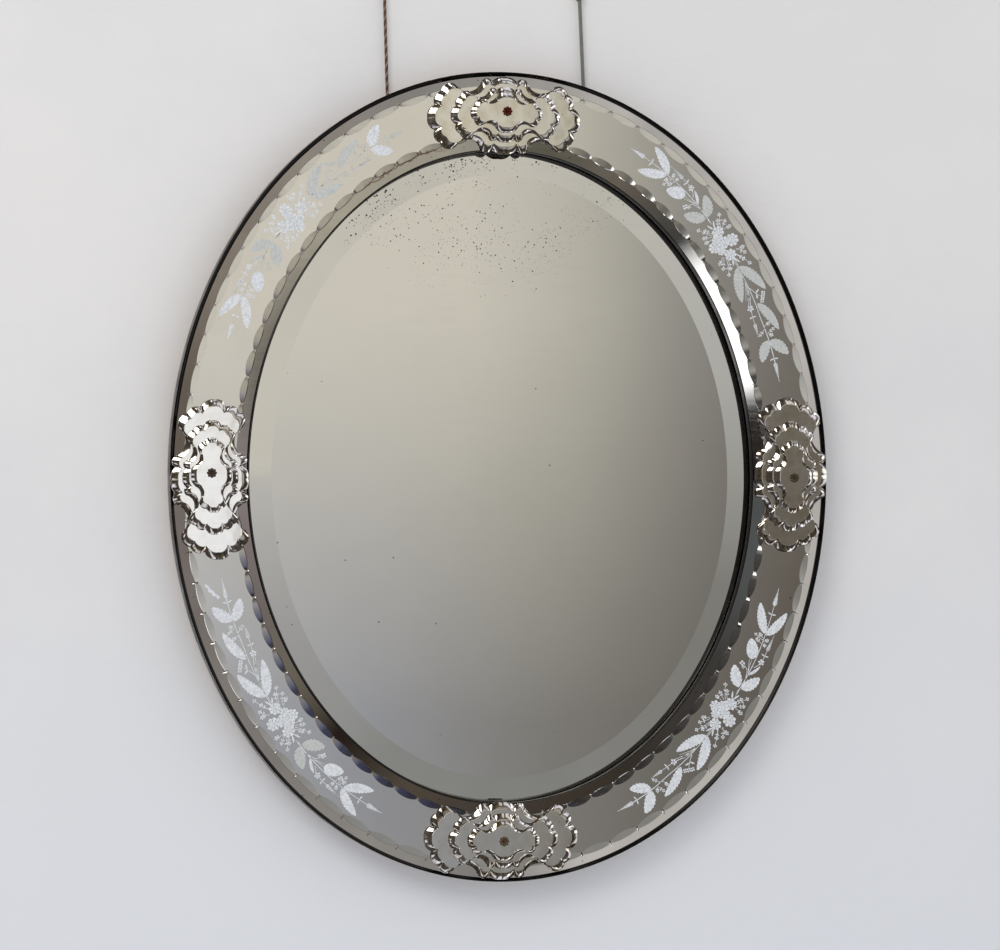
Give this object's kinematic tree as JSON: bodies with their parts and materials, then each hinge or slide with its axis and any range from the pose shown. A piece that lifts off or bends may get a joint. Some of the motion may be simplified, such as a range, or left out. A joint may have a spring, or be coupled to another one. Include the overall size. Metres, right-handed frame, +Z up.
{
  "type": "wall mirror",
  "caption": "Oval wall mirror with a bevelled centre glass, an engraved mirror-glass frame, stepped glass cartouches with rosette screws, and two hanging cords to wall hooks.",
  "frame": {"origin": "centre of the flat oval pad on the back of the backboard, in the plane of the wall", "axes": "+Z up, +Y into the wall, the front of the mirror faces -Y"},
  "size_m": [0.677, 0.0496, 0.943],
  "materials": {
    "back_wood": "old unfinished softwood, darkened and dusty",
    "ebonised_wood": "black lacquered wood with small worn edges",
    "aged_mirror": "old silvering with brown specks, bevelled edge",
    "frame_mirror": "old silvering, engraved with matt floral sprays",
    "cartouche_glass": "silvered glass, faintly yellow, with rolled bright borders",
    "rosette_brass": "dark patinated brass",
    "hanger_brass": "dull aged brass",
    "brown_cord": "twisted brown and tan textile cord",
    "grey_cord": "plain grey textile cord"
  },
  "bodies": {
    "root": {"backboard": "back_wood", "border_frame": "ebonised_wood", "centre_mirror": "aged_mirror", "frame_plate_upper_right": "frame_mirror", "frame_plate_upper_left": "frame_mirror", "frame_plate_lower_left": "frame_mirror", "frame_plate_lower_right": "frame_mirror", "cartouche_top_base": "cartouche_glass", "cartouche_top_middle": "cartouche_glass", "cartouche_top_top": "cartouche_glass", "cartouche_right_base": "cartouche_glass", "cartouche_right_middle": "cartouche_glass", "cartouche_right_top": "cartouche_glass", "cartouche_bottom_base": "cartouche_glass", "cartouche_bottom_middle": "cartouche_glass", "cartouche_bottom_top": "cartouche_glass", "cartouche_left_base": "cartouche_glass", "cartouche_left_middle": "cartouche_glass", "cartouche_left_top": "cartouche_glass", "rosette_screw_top": "rosette_brass", "rosette_screw_right": "rosette_brass", "rosette_screw_bottom": "rosette_brass", "rosette_screw_left": "rosette_brass", "hanger_left": "hanger_brass", "hanger_right": "hanger_brass", "cord_left": "brown_cord", "cord_right": "grey_cord", "wall_hook_left": "hanger_brass", "wall_hook_right": "hanger_brass"}
  },
  "joints": []
}
